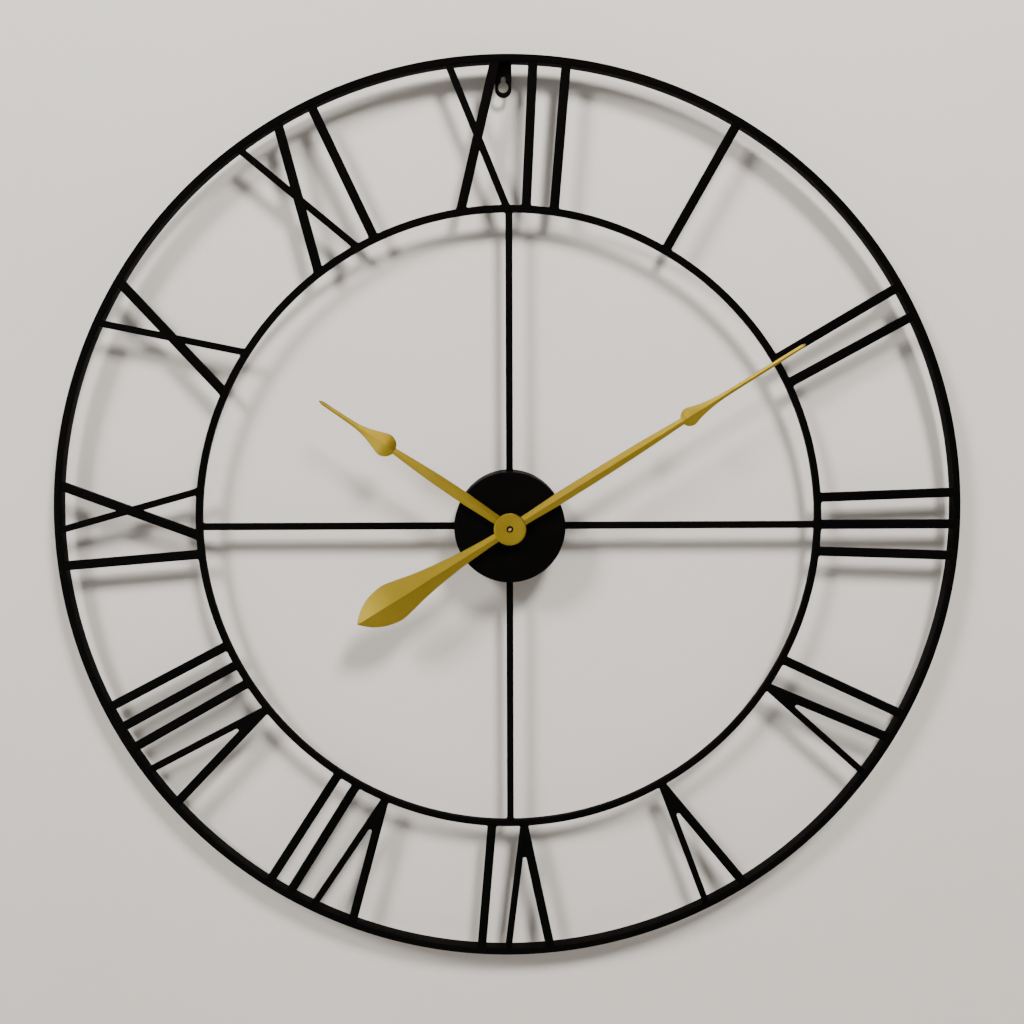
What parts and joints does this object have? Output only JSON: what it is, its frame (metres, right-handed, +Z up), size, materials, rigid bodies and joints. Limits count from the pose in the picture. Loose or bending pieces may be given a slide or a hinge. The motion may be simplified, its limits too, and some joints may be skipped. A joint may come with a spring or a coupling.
{
  "type": "wall clock",
  "caption": "Large open skeleton wall clock: black steel rings joined by welded Roman numerals, a round hub with a quartz movement, and gold hands.",
  "frame": {"origin": "on the hands' axis, in the plane of the wall that the clock hangs against", "axes": "+Z up towards the 12, +X to the right seen from the front, +Y into the wall; the dial faces -Y"},
  "size_m": [0.8, 0.049, 0.8],
  "materials": {
    "black_powder_coat": "fine satin-matt powder coat",
    "blackened_steel": "satin black",
    "gold_lacquer": "satin gold lacquer",
    "brass": "turned, bright",
    "steel": "bright",
    "copper_wire": "enamelled copper winding",
    "case_plastic": "fine moulded texture",
    "white_nylon": "moulded",
    "rubber": "matt",
    "circuit_board": "solder mask",
    "battery_sleeve": "plain shrink sleeve"
  },
  "bodies": {
    "frame": {"outer_ring": "black_powder_coat", "inner_ring": "black_powder_coat", "spoke_top": "black_powder_coat", "spoke_right": "black_powder_coat", "spoke_bottom": "black_powder_coat", "spoke_left": "black_powder_coat", "numeral_1_i1": "black_powder_coat", "numeral_2_i1": "black_powder_coat", "numeral_2_i2": "black_powder_coat", "numeral_3_i1": "black_powder_coat", "numeral_3_i2": "black_powder_coat", "numeral_3_i3": "black_powder_coat", "numeral_4_i1": "black_powder_coat", "numeral_4_v": "black_powder_coat", "numeral_5_v": "black_powder_coat", "numeral_6_v": "black_powder_coat", "numeral_6_i1": "black_powder_coat", "numeral_7_v": "black_powder_coat", "numeral_7_i1": "black_powder_coat", "numeral_7_i2": "black_powder_coat", "numeral_8_v": "black_powder_coat", "numeral_8_i1": "black_powder_coat", "numeral_8_i2": "black_powder_coat", "numeral_8_i3": "black_powder_coat", "numeral_9_i1": "black_powder_coat", "numeral_9_x": "black_powder_coat", "numeral_10_x": "black_powder_coat", "numeral_11_x": "black_powder_coat", "numeral_11_i1": "black_powder_coat", "numeral_12_x": "black_powder_coat", "numeral_12_i1": "black_powder_coat", "numeral_12_i2": "black_powder_coat", "hub_drum": "black_powder_coat", "hanger_plate": "blackened_steel", "threaded_bushing": "brass", "front_washer": "brass", "hex_nut": "brass", "rubber_washer": "rubber", "movement_case": "case_plastic", "movement_cover": "case_plastic", "circuit_board": "circuit_board", "quartz_crystal": "steel", "coil": "copper_wire", "coil_core": "steel", "stator": "steel", "contact_positive": "steel", "contact_negative": "steel"},
    "minute_hand": {"minute_hand": "gold_lacquer", "minute_hand_bush": "blackened_steel", "minute_arbor": "brass"},
    "hour_hand": {"hour_hand": "gold_lacquer", "hour_wheel": "white_nylon"},
    "motion_wheel": {"motion_wheel": "white_nylon"},
    "setting_knob": {"setting_knob": "white_nylon"},
    "centre_wheel": {"centre_wheel": "brass"},
    "third_wheel": {"third_wheel": "white_nylon"},
    "seconds_wheel": {"seconds_wheel": "white_nylon"},
    "step_wheel": {"step_wheel": "white_nylon"},
    "rotor": {"rotor": "steel"},
    "battery": {"battery_aa": "battery_sleeve"}
  },
  "joints": [
    {"name": "minute_hand_turn", "type": "hinge", "parent": "frame", "child": "minute_hand", "pos_m": [0, -0.0454, 0], "axis": [0, 1, 0], "continuous": true},
    {"name": "hour_hand_turn", "type": "hinge", "parent": "frame", "child": "hour_hand", "pos_m": [0, -0.0415, 0], "axis": [0, 1, 0], "continuous": true},
    {"name": "motion_wheel_turn", "type": "hinge", "parent": "frame", "child": "motion_wheel", "pos_m": [-0.0088, -0.0289, 0], "axis": [0, 1, 0], "continuous": true},
    {"name": "setting_knob_turn", "type": "hinge", "parent": "frame", "child": "setting_knob", "pos_m": [-0.0176, -0.014, 0], "axis": [0, 1, 0], "continuous": true},
    {"name": "centre_wheel_turn", "type": "hinge", "parent": "frame", "child": "centre_wheel", "pos_m": [0, -0.0274, 0], "axis": [0, 1, 0], "continuous": true},
    {"name": "third_wheel_turn", "type": "hinge", "parent": "frame", "child": "third_wheel", "pos_m": [0.00885, -0.0258, 0.00619], "axis": [0, 1, 0], "continuous": true},
    {"name": "seconds_wheel_turn", "type": "hinge", "parent": "frame", "child": "seconds_wheel", "pos_m": [0.00426, -0.0242, 0.01414], "axis": [0, 1, 0], "continuous": true},
    {"name": "step_wheel_turn", "type": "hinge", "parent": "frame", "child": "step_wheel", "pos_m": [-0.00321, -0.0206, 0.0148], "axis": [0, 1, 0], "continuous": true},
    {"name": "rotor_turn", "type": "hinge", "parent": "frame", "child": "rotor", "pos_m": [-0.01, -0.0264, 0.0136], "axis": [0, 1, 0], "continuous": true},
    {"name": "battery_slide", "type": "slide", "parent": "frame", "child": "battery", "axis": [0, 1, 0], "range_m": [0, 0.03]}
  ],
  "couplings": [
    {"joint": "hour_hand_turn", "follows": "minute_hand_turn", "ratio": 0.083333},
    {"joint": "motion_wheel_turn", "follows": "minute_hand_turn", "ratio": -0.33333},
    {"joint": "setting_knob_turn", "follows": "minute_hand_turn", "ratio": 1},
    {"joint": "centre_wheel_turn", "follows": "minute_hand_turn", "ratio": 1},
    {"joint": "third_wheel_turn", "follows": "minute_hand_turn", "ratio": -8},
    {"joint": "seconds_wheel_turn", "follows": "minute_hand_turn", "ratio": 60},
    {"joint": "step_wheel_turn", "follows": "minute_hand_turn", "ratio": -240},
    {"joint": "rotor_turn", "follows": "minute_hand_turn", "ratio": 1800}
  ]
}
